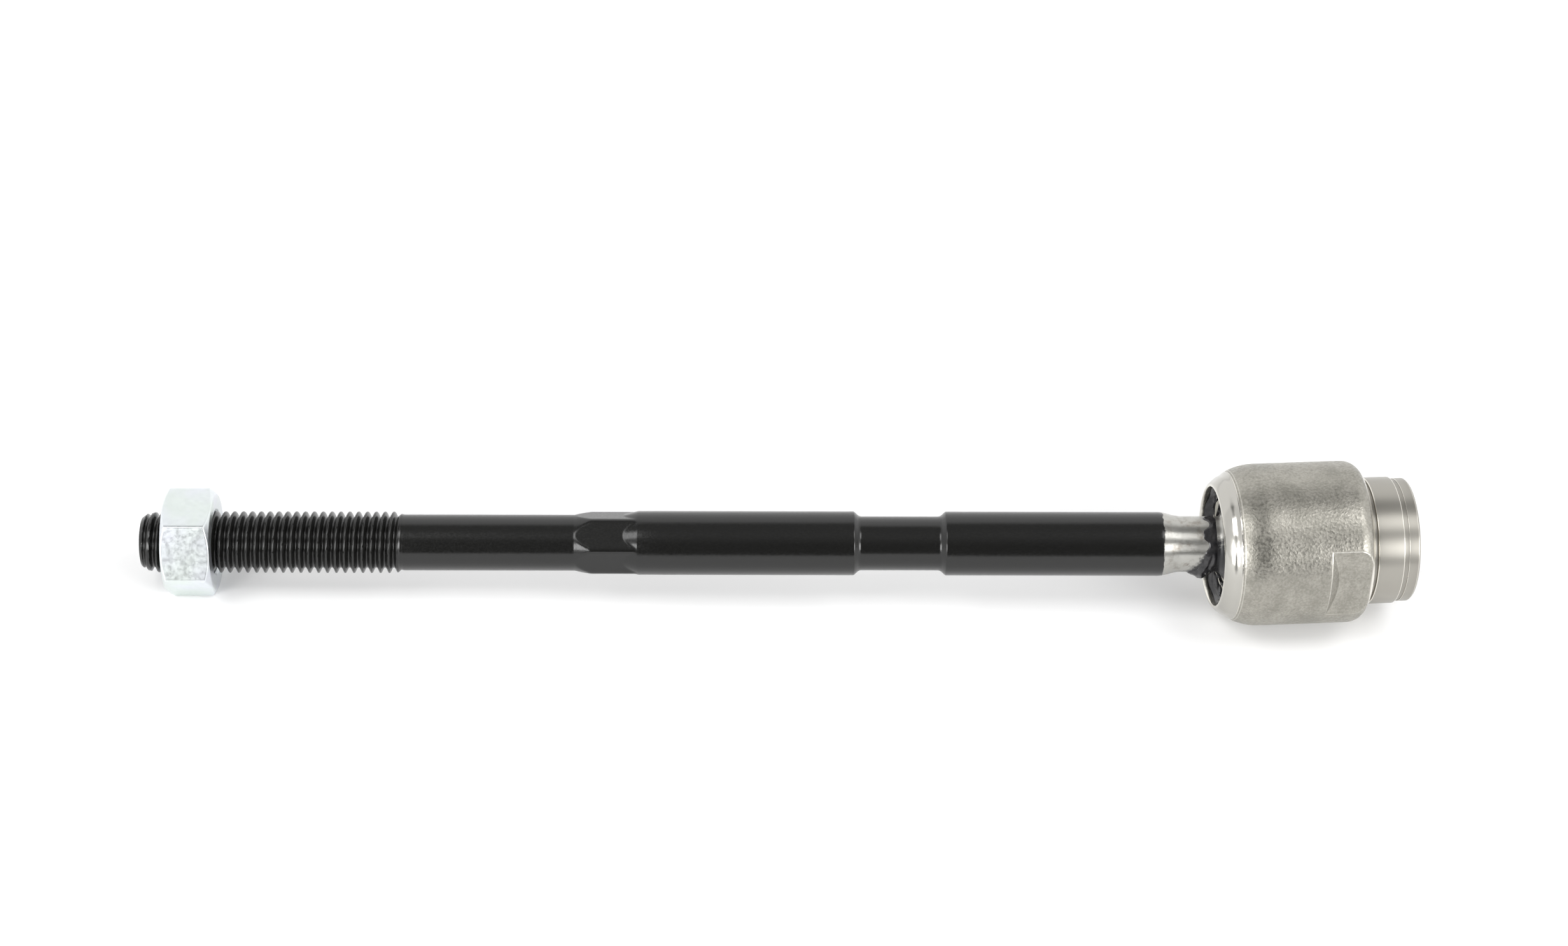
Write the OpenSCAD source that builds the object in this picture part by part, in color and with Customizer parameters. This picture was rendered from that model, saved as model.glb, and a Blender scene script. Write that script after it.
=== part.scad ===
// Inner tie rod: a steel rod with a ball on one end, held in a swaged housing that screws
// onto a steering rack, with a jam nut on the rod's outer thread. Millimetres, +Z up.
// Origin: centre of the collar's floor, where the rack's shoulder seats. +X leaves the rack thread.
// The part lies on its side, on the round of the housing and on one flat of the jam nut.

/* [Rod thread] */
// Major diameter of the rod's outer thread
thread_d = 13.9; // [13:0.1:16]
// Pitch of the rod's outer thread
thread_pitch = 2; // [1:0.25:2.5]
// Length of the threaded end, from the shank to the tip
thread_len = 59.3; // [40:0.1:80]
// Length over which the thread runs out into the shank
thread_runout = 1; // [0.5:0.1:3]
// Diameter of the end face at the tip
tip_d = 11.2; // [9:0.1:11.3]
// Length over which the crests rise from the tip to the full thread
thread_lead = 3.2; // [1:0.1:5]

/* [Rod bar] */
// Diameter of the shank behind the thread
shank_d = 12.65; // [12:0.05:12.7]
// Length of the shank between the thread and the wrench hexagon
shank_len = 38.2; // [20:0.1:60]
// Size across the flats of the wrench hexagon on the rod
hex_af = 12.8; // [12.75:0.05:13.8]
// Length over which the shank swells into the hexagon
hex_rise = 3.9; // [1:0.1:6]
// Length of the hexagon's full flats
hex_len = 7.1; // [5:0.1:15]
// Length over which the flats run out into the bar
hex_runout = 3.4; // [1:0.1:6]
// Diameter of the bar
bar_d = 14.45; // [14.1:0.05:16]
// Length of the bar between the hexagon and the boot groove
bar_front_len = 48.7; // [30:0.1:70]
// Diameter of the groove that the boot's small end sits in
groove_d = 12.2; // [10:0.1:13.5]
// Length of the groove's floor
groove_len = 18.3; // [8:0.1:25]
// Length of the ramp at each end of the groove
groove_ramp = 1.2; // [0.5:0.05:4]
// Length of the bar between the boot groove and the neck
bar_back_len = 48; // [30:0.1:70]

/* [Neck and ball] */
// Diameter of the neck in front of the ball
neck_d = 12.6; // [10:0.1:12.7]
// Distance from the ball's centre to the end of the straight neck
neck_len = 19; // [18:0.1:26]
// Length of the taper from the bar down to the neck
neck_taper = 5.1; // [2:0.1:10]
// Size of the small flare where the neck joins the ball
neck_flare = 0.4; // [0.2:0.05:0.45]
// Diameter of the ball
ball_d = 24; // [23.8:0.1:26]

/* [Housing body] */
// Wall of the housing's body round the ball's cavity
body_wall = 3.6; // [3.6:0.01:6]
// Distance from the mouth to the ball's centre
mouth_to_ball = 12.2; // [11:0.05:12.4]
// How far the turned-in lip reaches in over the seat
lip_grip = 1.26; // [0.8:0.02:1.3]
// Length of the straight bore inside the lip
lip_land = 1.5; // [0.5:0.1:2]
// Radial width of the lip's sloped face around the mouth
lip_w = 2.05; // [1.5:0.05:2.6]
// Axial depth of the lip's sloped face
lip_slope = 1.9; // [1:0.1:2.5]
// Distance from the mouth to where the nose reaches the full diameter
nose_len = 10.7; // [8:0.1:13]
// Distance from the mouth to the line that the swaging roller leaves round the nose
roller_mark_at = 3.9; // [3:0.1:6]
// Width of the roller's line
roller_mark_w = 0.5; // [0.2:0.05:0.8]
// Depth of the roller's line
roller_mark_depth = 0.12; // [0.05:0.01:0.2]
// Length of the rounding in front of the rear shoulder
shoulder_round_len = 3.8; // [2:0.1:5]
// Depth of the rounding in front of the rear shoulder
shoulder_round_depth = 3.2; // [2:0.1:3.6]
// Thickness of the web between the ball's cavity and the rack thread
web_t = 3.2; // [2:0.1:8]

/* [Housing wrench flats] */
// Depth of each of the two wrench flats
flats_depth = 2.1; // [1:0.05:2.6]
// Length of the wrench flats, from their sloped end to the shoulder
flats_len = 10.7; // [8:0.1:14]
// Length of the sloped end of the wrench flats
flats_ramp = 2.6; // [1:0.1:4]
// Angle of the wrench flats' normal above the horizontal
flats_turn = 10; // [-20:1:30]

/* [Housing hub] */
// Outer diameter of the hub around the rack thread
hub_d = 28.7; // [28:0.1:30.4]
// Length of the hub's full diameter
hub_len = 6; // [4:0.1:7]
// Width of the turned line on each side of the hub
relief_w = 1.1; // [0.4:0.1:1.5]
// Depth of the turned lines below the collar's surface
relief_depth = 0.2; // [0.1:0.05:0.6]
// Outer diameter of the collar that is staked over the rack
collar_d = 27.9; // [27.5:0.1:28.9]
// Length of the collar's full diameter
collar_len = 2.6; // [2:0.1:5]
// Wall of the collar
collar_wall = 2.05; // [1.5:0.05:2.5]
// Depth of the collar, from its end to the face that the rack seats on
collar_depth = 3.3; // [2:0.1:4]
// Chamfer of the collar's outer edge
collar_edge = 0.4; // [0.2:0.05:0.8]

/* [Rack thread] */
// Inner (minor) diameter of the rack thread
rack_bore_d = 18.38; // [14:0.01:20]
// Depth of the rack thread below the collar's floor
rack_bore_depth = 11; // [9:0.1:16]
// Chamfer at the start of the rack thread
rack_chamfer = 0.8; // [0.3:0.1:1.2]

/* [Ball seat] */
// Wall of the seat beside the ball
seat_wall = 2.6; // [2.4:0.05:3]
// Thickness of the seat behind the ball
seat_back = 1.7; // [1.2:0.1:4]
// Distance from the ball's centre to the seat's front face
seat_front = 9; // [8:0.1:9.4]
// Radial running clearance between the ball and the seat
ball_gap = 0.05; // [0.02:0.01:0.08]
// Radial running clearance between the seat and the housing
seat_gap = 0.06; // [0.02:0.01:0.08]
// Angle from the axis at which the seat lets go of the ball
seat_mouth_angle = 62; // [61:0.5:66]
// Flare of the seat's mouth, which is also the largest swing of the rod
seat_flare = 27; // [20:0.5:30]
// Radius of the grease hole through the back of the seat
grease_hole_r = 3; // [2:0.1:4]

/* [Preload spring] */
// Thickness of the disc spring's steel
spring_t = 0.8; // [0.5:0.05:1.5]
// Height of the disc spring's cone
spring_cone = 0.5; // [0.2:0.05:1]
// Inner radius of the disc spring
spring_inner_r = 7; // [5:0.1:9]
// Radial clearance between the disc spring and the housing
spring_side_gap = 0.4; // [0.2:0.05:0.8]
// Clearance between the disc spring and the seat
spring_gap = 0.05; // [0.02:0.01:0.1]

/* [Jam nut] */
// Size across the flats of the jam nut
nut_af = 22; // [20:0.1:24]
// Thickness of the jam nut
nut_t = 11; // [8:0.1:13]
// Distance from the rod's tip to the jam nut
nut_at = 5.5; // [3:0.1:20]
// Radial clearance between the rod's thread and the nut's bore
nut_gap = 0.1; // [0.05:0.01:0.2]
// Radial width of the countersink at each end of the nut's bore
nut_sink = 0.5; // [0.3:0.05:1]
// How far the nut's round end faces stay inside its flats
nut_face_inset = 0.2; // [0.1:0.05:0.8]
// Angle of the chamfer on the nut's corners
nut_chamfer = 30; // [20:1:35]

/* [Rest pose] */
// Turn of the rod about the vertical, away from the housing's axis
rest_yaw = 4.7; // [0:0.1:12]

/* [Hidden] */
$fn = 96;
// Straight steps in the curves of the nose and the shoulder
curve_steps = 12;
// Margin by which a cutting solid passes the solid that it cuts
over = 1;

// A 60 degree thread: how deep it is, and how long its flanks and crests are
thread_r = thread_d / 2;
thread_root_r = thread_r - 0.6134 * thread_pitch;
thread_flank = (thread_r - thread_root_r) * tan(30);
thread_crest = thread_pitch / 8;
thread_count = floor((thread_len - thread_runout) / thread_pitch) - 1;

// Distances along the rod, from the ball's centre towards the tip
bar_back_at = neck_len + neck_taper;
groove_back_at = bar_back_at + bar_back_len;
groove_floor_back_at = groove_back_at + groove_ramp;
groove_floor_front_at = groove_floor_back_at + groove_len;
bar_front_at = groove_floor_front_at + groove_ramp;
runout_at = bar_front_at + bar_front_len;
flats_end_at = runout_at + hex_runout;
rise_at = flats_end_at + hex_len;
shank_at = rise_at + hex_rise;
thread_at = shank_at + shank_len;
tip_at = thread_at + thread_len;
nut_outer_at = tip_at - nut_at;
nut_inner_at = nut_outer_at - nut_t;

// Distances along the housing, from the mouth towards the collar
ball_r = ball_d / 2;
socket_r = ball_r + ball_gap;
cavity_r = socket_r + seat_wall + seat_gap;
mouth_r = cavity_r - lip_grip;
body_r = cavity_r + body_wall;
flats_r = body_r - flats_depth;
seat_front_at = mouth_to_ball - seat_front;
seat_back_at = mouth_to_ball + socket_r + seat_back;
spring_at = seat_back_at + spring_gap;
cavity_depth = spring_at + spring_cone + spring_t;
rack_floor_at = cavity_depth + web_t + rack_bore_depth;
housing_len = rack_floor_at + collar_depth;
collar_at = housing_len - collar_len;
hub_end_at = collar_at - relief_w;
hub_at = hub_end_at - hub_len;
shoulder_at = hub_at - relief_w;
flats_at = shoulder_at - flats_len;
lip_cone_end_at = lip_land + 2.5 * lip_grip;

mouth_x = -rack_floor_at;
ball_x = mouth_x + mouth_to_ball;
// The rod slopes down from the ball to the jam nut, so that both ends touch the floor
rest_pitch = asin((body_r - nut_af / 2) / nut_outer_at);

// Carries what is drawn along +Z from the ball's centre onto the rod's axis, tip towards -X
module on_rod() {
    translate([ball_x, 0, 0]) rotate([0, -rest_pitch, -rest_yaw]) rotate([0, -90, 0]) children();
}

// Carries what is drawn along +Z from the mouth onto the housing's axis, collar towards +X
module on_housing() {
    translate([mouth_x, 0, 0]) rotate([0, 90, 0]) children();
}

// Turns an outline of [radius, distance] points round the Z axis
module turned(outline) {
    rotate_extrude() polygon(outline);
}

module hexagon(af, from, to) {
    translate([0, 0, from]) cylinder(d = af / cos(30), h = to - from, $fn = 6);
}

// Radius that the thread's crests reach at distance z: full, and falling off near the tip
function crest_r(z) = min(thread_r, tip_d / 2 + (tip_at - z) / thread_lead * (thread_r - tip_d / 2));

// One ridge of the thread, from its root at distance z: flank, crest and flank
function ridge(z) = let (top = crest_r(z + thread_flank + thread_crest / 2)) [
    [thread_root_r, z],
    [top, z + thread_flank],
    [top, z + thread_flank + thread_crest],
    [thread_root_r, z + 2 * thread_flank + thread_crest]
];

// Rings at the thread's pitch give the threaded end its section
module thread_rings() {
    turned(concat(
        [[0, thread_at - over], [shank_d / 2, thread_at - over], [shank_d / 2, thread_at]],
        [for (i = [0 : thread_count]) each ridge(thread_at + thread_runout + i * thread_pitch)],
        [[tip_d / 2, tip_at], [0, tip_at]]
    ));
}

// The hexagon is the bar's own steel: the flats start on the shank's cone and run out in another
module wrench_hexagon() {
    intersection() {
        turned([
            [0, runout_at - over], [bar_d / 2, runout_at - over], [bar_d / 2, rise_at],
            [shank_d / 2, shank_at], [0, shank_at]
        ]);
        union() {
            hexagon(hex_af, runout_at - over, shank_at);
            turned([
                [0, runout_at - over], [bar_d / 2 + over, runout_at - over],
                [bar_d / 2 + over, runout_at], [bar_d / 2, runout_at],
                [hex_af / 2, flats_end_at], [0, flats_end_at]
            ]);
        }
    }
}

module bar_and_neck() {
    neck_r = neck_d / 2;
    // Distance at which the flare meets the ball
    flare_at = sqrt(pow(ball_r, 2) - pow(neck_r + neck_flare, 2));
    turned([
        [0, 0], [neck_r + 2 * neck_flare, 0],
        [neck_r + 2 * neck_flare, flare_at - neck_flare], [neck_r, flare_at + neck_flare],
        [neck_r, neck_len], [bar_d / 2, bar_back_at], [bar_d / 2, groove_back_at],
        [groove_d / 2, groove_floor_back_at], [groove_d / 2, groove_floor_front_at],
        [bar_d / 2, bar_front_at], [bar_d / 2, runout_at], [0, runout_at]
    ]);
}

module tie_rod() {
    color([0.07, 0.07, 0.075])
        on_rod() union() {
            sphere(r = ball_r);
            bar_and_neck();
            wrench_hexagon();
            turned([[0, shank_at], [shank_d / 2, shank_at], [shank_d / 2, thread_at], [0, thread_at]]);
            thread_rings();
        }
}

module jam_nut() {
    bore_r = thread_r + nut_gap;
    face_r = nut_af / 2 - nut_face_inset;
    rim_r = nut_af / 2 / cos(30) + over;
    chamfer_len = (rim_r - face_r) * tan(nut_chamfer);
    color([0.80, 0.82, 0.85])
        on_rod() difference() {
            intersection() {
                rotate([0, 0, 30]) hexagon(nut_af, nut_inner_at, nut_outer_at);
                turned([
                    [0, nut_inner_at], [face_r, nut_inner_at], [rim_r, nut_inner_at + chamfer_len],
                    [rim_r, nut_outer_at - chamfer_len], [face_r, nut_outer_at], [0, nut_outer_at]
                ]);
            }
            translate([0, 0, nut_inner_at - over]) cylinder(r = bore_r, h = nut_t + 2 * over);
            turned([
                [0, nut_inner_at - over], [bore_r + nut_sink + over, nut_inner_at - over],
                [bore_r, nut_inner_at + nut_sink], [0, nut_inner_at + nut_sink]
            ]);
            turned([
                [0, nut_outer_at - nut_sink], [bore_r, nut_outer_at - nut_sink],
                [bore_r + nut_sink + over, nut_outer_at + over], [0, nut_outer_at + over]
            ]);
        }
}

// Radius of the nose at distance z from the mouth, behind the lip's face: what it still lacks
// of the body's radius falls off with a power of the length that is left
function nose_r(z) = body_r - (body_r - mouth_r - lip_w) * pow((nose_len - z) / (nose_len - lip_slope), 2.2);

function nose_curve(from, to, steps) =
    [for (i = [0 : steps]) let (z = from + (to - from) * i / steps) [nose_r(z), z]];

// A quarter of an ellipse from the body's side down to the rear shoulder
function shoulder_curve(steps) = [
    for (i = [0 : steps]) let (a = 90 * i / steps) [
        body_r - shoulder_round_depth * (1 - cos(a)),
        shoulder_at - shoulder_round_len * (1 - sin(a))
    ]
];

module housing_outside() {
    mark_mid = roller_mark_at + roller_mark_w / 2;
    relief_r = collar_d / 2 - relief_depth;
    turned(concat(
        [[0, 0], [mouth_r, 0]],
        nose_curve(lip_slope, roller_mark_at, 4),
        [[nose_r(mark_mid) - roller_mark_depth, mark_mid]],
        nose_curve(roller_mark_at + roller_mark_w, nose_len, curve_steps),
        shoulder_curve(curve_steps),
        [[relief_r, shoulder_at], [relief_r, hub_at], [hub_d / 2, hub_at], [hub_d / 2, hub_end_at],
         [relief_r, hub_end_at], [relief_r, collar_at], [collar_d / 2, collar_at],
         [collar_d / 2, housing_len - collar_edge], [collar_d / 2 - collar_edge, housing_len],
         [0, housing_len]]
    ));
}

// What the two wrench flats leave: a slab, and all of the body in front of their sloped end
module inside_the_flats() {
    union() {
        rotate([0, 0, -flats_turn]) translate([-2 * body_r, -flats_r, -over])
            cube([4 * body_r, 2 * flats_r, housing_len + 2 * over]);
        turned([
            [0, -over], [body_r + over, -over], [body_r + over, flats_at], [body_r, flats_at],
            [flats_r, flats_at + flats_ramp], [0, flats_at + flats_ramp]
        ]);
    }
}

// Room for the ball, its seat and the disc spring, narrowed to the mouth by the lip
module ball_cavity() {
    turned([
        [0, -over], [mouth_r, -over], [mouth_r, lip_land], [cavity_r, lip_cone_end_at],
        [cavity_r, cavity_depth], [0, cavity_depth]
    ]);
}

// The collar's recess, the rack thread's bore and the chamfer between them
module rack_opening() {
    bore_r = rack_bore_d / 2;
    turned([
        [0, rack_floor_at - rack_bore_depth], [bore_r, rack_floor_at - rack_bore_depth],
        [bore_r, rack_floor_at - rack_chamfer], [bore_r + rack_chamfer, rack_floor_at],
        [collar_d / 2 - collar_wall, rack_floor_at], [collar_d / 2 - collar_wall, housing_len + over],
        [0, housing_len + over]
    ]);
}

module housing() {
    color([0.56, 0.55, 0.51])
        on_housing() difference() {
            intersection() {
                housing_outside();
                inside_the_flats();
            }
            ball_cavity();
            rack_opening();
        }
}

// A cup round the ball: it grips past the ball's equator and flares where the neck swings
module ball_seat() {
    outer_r = cavity_r - seat_gap;
    // Where the lip's cone ends on the seat, and how wide the seat is at its front
    front_outer_r = outer_r - (lip_cone_end_at - seat_front_at) / 2.5;
    edge_r = socket_r * sin(seat_mouth_angle);
    edge_at = mouth_to_ball - socket_r * cos(seat_mouth_angle);
    flare = tan(seat_flare);
    color([0.86, 0.85, 0.80])
        on_housing() difference() {
            turned([
                [0, edge_at + over], [edge_r - over * flare, edge_at + over],
                [edge_r + (edge_at - seat_front_at) * flare, seat_front_at],
                [front_outer_r, seat_front_at], [outer_r, lip_cone_end_at],
                [outer_r, seat_back_at], [0, seat_back_at]
            ]);
            translate([0, 0, mouth_to_ball]) sphere(r = socket_r);
            translate([0, 0, mouth_to_ball]) cylinder(r = grease_hole_r, h = seat_back_at);
        }
}

// A coned disc spring: its inner edge bears on the seat and its outer edge on the housing
module preload_spring() {
    outer_r = cavity_r - spring_side_gap;
    color([0.45, 0.45, 0.47])
        on_housing() turned([
            [spring_inner_r, spring_at], [outer_r, spring_at + spring_cone],
            [outer_r, spring_at + spring_cone + spring_t], [spring_inner_r, spring_at + spring_t]
        ]);
}

housing();
ball_seat();
preload_spring();
tie_rod();
jam_nut();
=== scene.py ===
"""Inner tie rod: looks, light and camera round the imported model.

The rod, the housing, the jam nut and the grease are surfaces worked out from their sizes.
Profiles are in millimetres and become metres when a mesh is made.
"""

import math

import bpy
import numpy as np
from bpy.props import FloatProperty, FloatVectorProperty, IntProperty, PointerProperty
from mathutils import Matrix, Vector


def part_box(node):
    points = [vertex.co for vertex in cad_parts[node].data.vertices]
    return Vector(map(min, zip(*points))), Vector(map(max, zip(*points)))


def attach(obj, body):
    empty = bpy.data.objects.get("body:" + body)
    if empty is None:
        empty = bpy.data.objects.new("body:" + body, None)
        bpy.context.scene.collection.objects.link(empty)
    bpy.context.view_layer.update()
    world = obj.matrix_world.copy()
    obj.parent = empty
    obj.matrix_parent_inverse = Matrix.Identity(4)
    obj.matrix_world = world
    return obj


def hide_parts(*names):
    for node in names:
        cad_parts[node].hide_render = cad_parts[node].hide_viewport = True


bl_info = {
    "name": "Inner tie rod",
    "version": (1, 0, 0),
    "blender": (4, 5, 0),
    "location": "3D View > Sidebar > Tie Rod",
    "description": "Builds an inner tie rod with its socket, jam nut and studio",
    "category": "Object",
}

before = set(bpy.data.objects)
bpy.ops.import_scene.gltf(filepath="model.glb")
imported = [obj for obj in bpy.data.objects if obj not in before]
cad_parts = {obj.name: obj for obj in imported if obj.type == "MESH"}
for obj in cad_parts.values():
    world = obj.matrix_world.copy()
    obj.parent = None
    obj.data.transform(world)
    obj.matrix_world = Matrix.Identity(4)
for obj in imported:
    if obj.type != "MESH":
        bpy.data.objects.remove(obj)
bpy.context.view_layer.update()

MM = 0.001
MICRON = 0.000001
TURN = 2 * math.pi
# Depths of the threads, in pitches
ROD_THREAD_DEPTH = 0.6135
BORE_THREAD_DEPTH = 0.61


def length(name, value, words):
    """A length, written in millimetres and kept in metres."""
    return FloatProperty(name=name, description=words, default=value * MM, precision=5, unit="LENGTH")


class RodSizes(bpy.types.PropertyGroup):
    """Sizes of the tie rod."""

    ball_r: length("Ball radius", 12.0, "Radius of the ball")
    neck_r: length("Neck radius", 6.3, "Radius of the neck in front of the ball")
    neck_len: length("Neck length", 19.0, "From the ball's centre to the end of the straight neck")
    neck_taper: length("Neck taper", 5.1, "Length of the taper between bar and neck")
    bar_r: length("Bar radius", 7.225, "Radius of the bar")
    bar_back_len: length("Back bar", 48.0, "Bar between the neck and the boot groove")
    bar_front_len: length("Front bar", 48.7, "Bar between the boot groove and the hexagon")
    groove_r: length("Groove radius", 6.1, "Radius of the boot groove's floor")
    groove_len: length("Groove length", 18.3, "Length of the boot groove's floor")
    groove_ramp: length("Groove ramp", 1.2, "Length of the ramp at each end of the groove")
    hex_r: length("Hexagon", 6.4, "From the axis to a flat of the wrench hexagon")
    hex_runout: length("Hexagon run-out", 3.4, "Length over which the flats run out into the bar")
    hex_len: length("Hexagon length", 7.1, "Length of the full flats")
    hex_rise: length("Hexagon rise", 3.9, "Length over which the shank swells into the hexagon")
    shank_r: length("Shank radius", 6.325, "Radius of the shank")
    shank_len: length("Shank length", 38.2, "Shank between the hexagon and the thread")
    thread_r: length("Thread radius", 6.95, "Radius of the thread's crests")
    thread_pitch: length("Thread pitch", 2.0, "Pitch of the thread")
    thread_len: length("Thread length", 59.3, "Length of the threaded end")
    tip_r: length("Tip radius", 5.6, "Radius of the end face at the tip")
    coat_at: length("Coating's edge", 23.2, "From the ball's centre to the edge of the black coating")
    film_at: length("Grease film", 12.9, "From the ball's centre to the edge of the film of grease")
    columns: IntProperty(name="Columns", description="Points round the rod", default=96, min=48)


class HousingSizes(bpy.types.PropertyGroup):
    """Sizes of the socket housing."""

    body_r: length("Body radius", 18.31, "Outer radius of the body")
    mouth_r: length("Mouth radius", 13.45, "Radius of the mouth")
    lip_w: length("Lip width", 2.05, "Radial width of the lip's face")
    lip_slope: length("Lip depth", 1.9, "Axial depth of the lip's face")
    lip_land: length("Lip land", 1.5, "Length of the straight bore inside the lip")
    lip_back: length("Lip back", 4.65, "From the mouth to the full cavity")
    roller_at: length("Roller's line", 3.9, "From the mouth to the line left by the swaging roller")
    nose_len: length("Nose", 10.7, "From the mouth to the full diameter")
    cavity_r: length("Cavity radius", 14.71, "Radius of the ball's cavity")
    cavity_len: length("Cavity depth", 27.3, "Depth of the ball's cavity")
    flat_r: length("Flat", 16.21, "From the axis to a wrench flat")
    flat_at: length("Flat's end", 23.3, "From the mouth to the flats' sloped end")
    flat_ramp: length("Flat's ramp", 2.6, "Length of the flats' sloped end")
    shoulder_at: length("Shoulder", 34.0, "From the mouth to the rear shoulder")
    shoulder_len: length("Rounding length", 3.8, "Length of the rounding before the shoulder")
    shoulder_drop: length("Rounding depth", 3.2, "Depth of the rounding before the shoulder")
    hub_r: length("Hub radius", 14.35, "Radius of the hub")
    hub_len: length("Hub length", 6.0, "Length of the hub")
    relief_w: length("Line width", 1.1, "Width of the turned lines beside the hub")
    relief_r: length("Line radius", 13.75, "Radius at the bottom of the turned lines")
    collar_r: length("Collar radius", 13.95, "Outer radius of the collar")
    collar_bore: length("Collar bore", 11.9, "Inner radius of the collar")
    collar_len: length("Collar length", 2.6, "Length of the collar")
    collar_depth: length("Collar depth", 3.3, "From the collar's end to the face that the rack seats on")
    total_len: length("Length", 44.8, "From the mouth to the collar's end")
    bore_r: length("Rack thread radius", 9.19, "Inner radius of the rack thread")
    bore_len: length("Rack thread depth", 11.0, "Depth of the rack thread")
    bore_pitch: length("Rack thread pitch", 1.5, "Pitch of the rack thread")
    flat_turn: FloatProperty(
        name="Flat's turn", description="Angle of the flats' normal above the horizontal",
        default=math.radians(10), subtype="ANGLE", unit="ROTATION",
    )
    columns: IntProperty(name="Columns", description="Points round the housing", default=216, min=96)


class NutSizes(bpy.types.PropertyGroup):
    """Sizes of the jam nut."""

    flat_r: length("Flat", 11.0, "From the axis to a flat")
    thickness: length("Thickness", 11.0, "Thickness of the nut")
    from_tip: length("From the tip", 5.5, "From the rod's tip to the nut")
    bore_r: length("Bore radius", 7.05, "Radius of the bore")
    sink: length("Countersink", 0.5, "Radial width of the countersink at each end")
    face_r: length("Face radius", 10.8, "Radius of the round end faces")
    chamfer: FloatProperty(
        name="Chamfer", description="Angle of the corners' chamfer",
        default=math.radians(30), subtype="ANGLE", unit="ROTATION",
    )
    columns: IntProperty(name="Columns", description="Points round the nut", default=432, min=48)


def tint(name, value, words):
    """An sRGB colour, kept as it is written."""
    return FloatVectorProperty(name=name, description=words, default=value, size=3, min=0, max=1,
                               subtype="COLOR_GAMMA")


def from_hex(text):
    """The three sRGB numbers of a hex colour."""
    return tuple(int(text[i:i + 2], 16) / 255 for i in (1, 3, 5))


class Finishes(bpy.types.PropertyGroup):
    """Colours of the finishes."""

    coating: tint("Black coating", from_hex("#111110"), "Black coating of the rod")
    steel: tint("Bare steel", from_hex("#b4b3ae"), "Bare turned steel")
    turned: tint("Turned steel", from_hex("#9c9992"), "Turned hub of the housing")
    lip: tint("Rolled steel", from_hex("#b2b0aa"), "Rolled lip of the housing")
    forged: tint("Forged steel", from_hex("#a6a39b"), "Forged and tumbled steel")
    zinc: tint("Zinc", from_hex("#dde0e6"), "Bright zinc plating")
    grease: tint("Grease", from_hex("#232325"), "Dark grease")
    acetal: tint("Acetal", from_hex("#d8d5ca"), "Moulded acetal")
    floor: tint("Floor", from_hex("#fcfcfc"), "Floor and backdrop")


def linear(colour):
    """sRGB to linear light: c / 12.92 below 0.04045, and ((c + 0.055) / 1.055) ^ 2.4 above it."""
    return tuple(c / 12.92 if c <= 0.04045 else ((c + 0.055) / 1.055) ** 2.4 for c in colour) + (1.0,)


def lengths(sizes):
    """Every length of a group by its name, in millimetres."""
    return {
        one.identifier: getattr(sizes, one.identifier) / MM
        for one in sizes.bl_rna.properties if one.type == "FLOAT" and one.unit == "LENGTH"
    }


# Where the rod and the housing lie in the row's frame. The housing and the nut's outer end rest on one
# floor, so over the nut's distance from the ball the rod drops by body radius less nut flat
MOUTH_X = -41.5
BALL_X = -29.3
REST_YAW = math.radians(4.7)
REST_DROP = 7.31
NUT_END = 247.9
REST_PITCH = math.asin(REST_DROP / NUT_END)
ROD_PLACE = (
    Matrix.Translation((BALL_X, 0, 0)) @ Matrix.Rotation(-REST_YAW, 4, "Z")
    @ Matrix.Rotation(-REST_PITCH, 4, "Y") @ Matrix.Rotation(-math.pi / 2, 4, "Y")
)
HOUSING_PLACE = Matrix.Translation((MOUTH_X, 0, 0)) @ Matrix.Rotation(math.pi / 2, 4, "Y")
ROD_AXIS = (ROD_PLACE.to_3x3() @ Vector((0, 0, 1))).normalized()


def closed_mesh(name, rings, place, poles):
    """A closed surface through rings of points, each ring a row of the array.

    With poles, the first and the last ring are one point each, and fans close them.
    Without poles, the last ring joins the first, so the surface is a ring itself.
    If the volume, the sum of the faces' triple products, is negative, the faces are turned round.
    """
    rows, columns = rings.shape[:2]
    turn = np.arange(columns)
    after = (turn + 1) % columns

    def quads(a, b):
        return np.stack([a + turn, a + after, b + after, b + turn], -1)

    if poles:
        points = np.concatenate([rings[0, :1], rings[1:-1].reshape(-1, 3), rings[-1, :1]])
        first = 1 + columns * np.arange(rows - 2)
        body = np.concatenate([quads(a, a + columns) for a in first[:-1]])
        last = len(points) - 1
        fans = np.concatenate([
            np.stack([np.zeros_like(turn), first[0] + after, first[0] + turn], -1),
            np.stack([np.full_like(turn, last), first[-1] + turn, first[-1] + after], -1),
        ])
    else:
        points = rings.reshape(-1, 3)
        first = columns * np.arange(rows)
        body = np.concatenate([quads(a, b) for a, b in zip(first, np.roll(first, -1))])
        fans = np.zeros((0, 3), int)
    turned = np.array(place)
    points = (points @ turned[:3, :3].T + turned[:3, 3]) * MM
    a, b, c, d = (points[body[:, i]] for i in range(4))
    volume = (np.cross(a, b) * c).sum() + (np.cross(a, c) * d).sum()
    if len(fans):
        e, f, g = (points[fans[:, i]] for i in range(3))
        volume += (np.cross(e, f) * g).sum()
    if volume < 0:
        body, fans = body[:, ::-1], fans[:, ::-1]
    mesh = bpy.data.meshes.new(name)
    mesh.from_pydata(points.tolist(), [], body.tolist() + fans.tolist())
    mesh.validate()
    return mesh


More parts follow.
